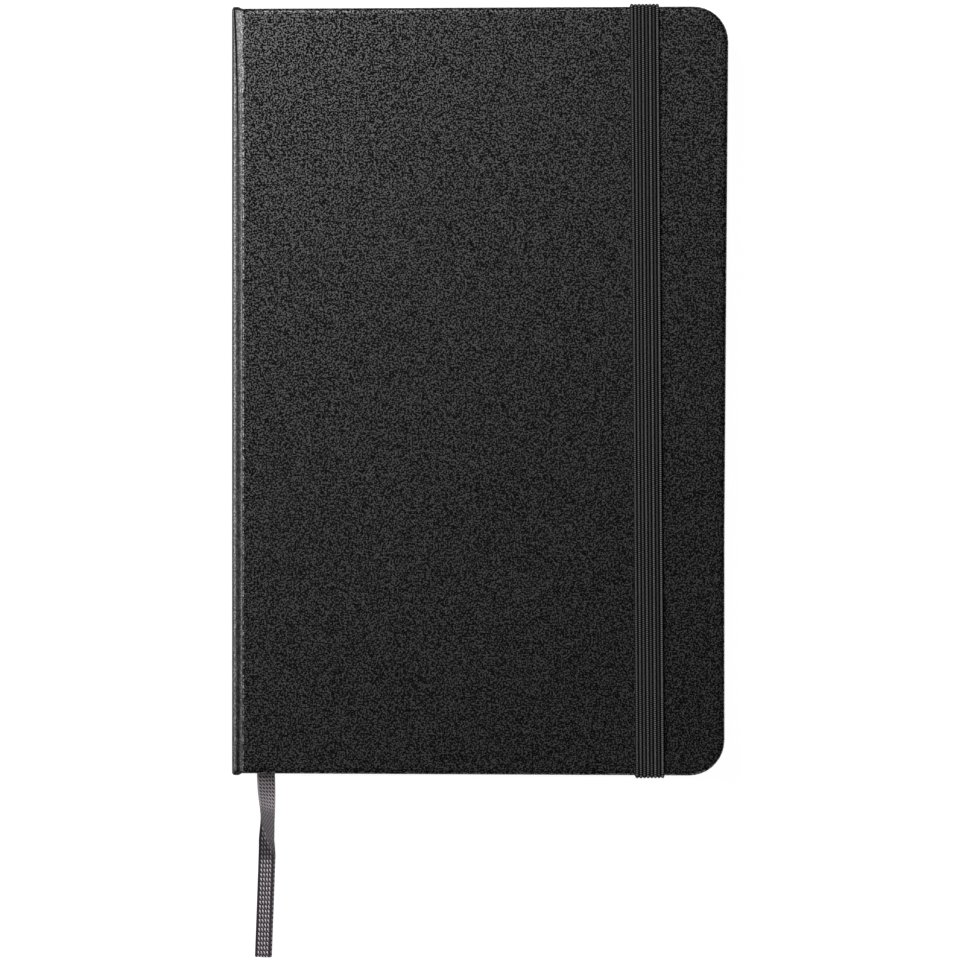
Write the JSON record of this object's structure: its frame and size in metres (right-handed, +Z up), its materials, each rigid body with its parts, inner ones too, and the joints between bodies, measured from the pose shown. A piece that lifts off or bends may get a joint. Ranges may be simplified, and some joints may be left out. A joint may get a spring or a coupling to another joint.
{
  "type": "pocket notebook",
  "caption": "Pocket notebook in a grained black hard cover that opens flat, with sewn pages, an elastic band closure and a ribbon marker",
  "frame": {"origin": "centre of the closed notebook's outline, on the outer face of the back cover that it lies on", "axes": "+Z up through the closed notebook towards the front cover, +Y towards the head, +X towards the fore-edge, the spine at -X"},
  "size_m": [0.09, 0.1748, 0.0138],
  "materials": {
    "leatherette": "grained, satin",
    "card": "matte grey-brown board",
    "pages": "matte ivory, lined",
    "endpaper": "matte ivory",
    "gauze": "open weave",
    "pocket_cloth": "fine black cloth",
    "elastic": "ribbed knitted elastic",
    "ribbon": "woven, slight sheen",
    "thread": "waxed linen thread"
  },
  "bodies": {
    "back_half": {"back_cover_wrap": "leatherette", "back_board": "card", "rear_endpaper": "endpaper", "pocket_panel": "endpaper", "pocket_gusset_head": "pocket_cloth", "pocket_gusset_tail": "pocket_cloth", "signature_07": "pages", "signature_08": "pages", "signature_09": "pages", "signature_10": "pages", "signature_11": "pages", "signature_12": "pages", "ribbon_marker": "ribbon", "ribbon_tail": "ribbon"},
    "spine": {"spine_wrap": "leatherette", "spine_card": "card", "spine_lining": "gauze", "sewing_thread_1": "thread", "sewing_thread_2": "thread", "sewing_thread_3": "thread", "sewing_thread_4": "thread", "sewing_thread_5": "thread"},
    "front_half": {"front_cover_wrap": "leatherette", "front_board": "card", "front_endpaper": "endpaper", "signature_01": "pages", "signature_02": "pages", "signature_03": "pages", "signature_04": "pages", "signature_05": "pages", "signature_06": "pages"},
    "elastic": {"elastic_closure": "elastic"}
  },
  "joints": [
    {"name": "spine_hinge", "type": "hinge", "parent": "back_half", "child": "spine", "pos_m": [-0.04425, 0, 0.00075], "axis": [0, -1, 0], "range_deg": [0, 90]},
    {"name": "front_hinge", "type": "hinge", "parent": "spine", "child": "front_half", "pos_m": [-0.04425, 0, 0.01225], "axis": [0, -1, 0], "range_deg": [0, 90]},
    {"name": "elastic_release", "type": "hinge", "parent": "back_half", "child": "elastic", "pos_m": [0.0308, 0, 0], "axis": [0, 1, 0], "range_deg": [0, 180], "deforming": ["elastic_closure"]}
  ],
  "couplings": [
    {"joint": "front_hinge", "follows": "spine_hinge", "ratio": 1},
    {"joint": "elastic_release", "follows": "spine_hinge", "ratio": 2}
  ]
}
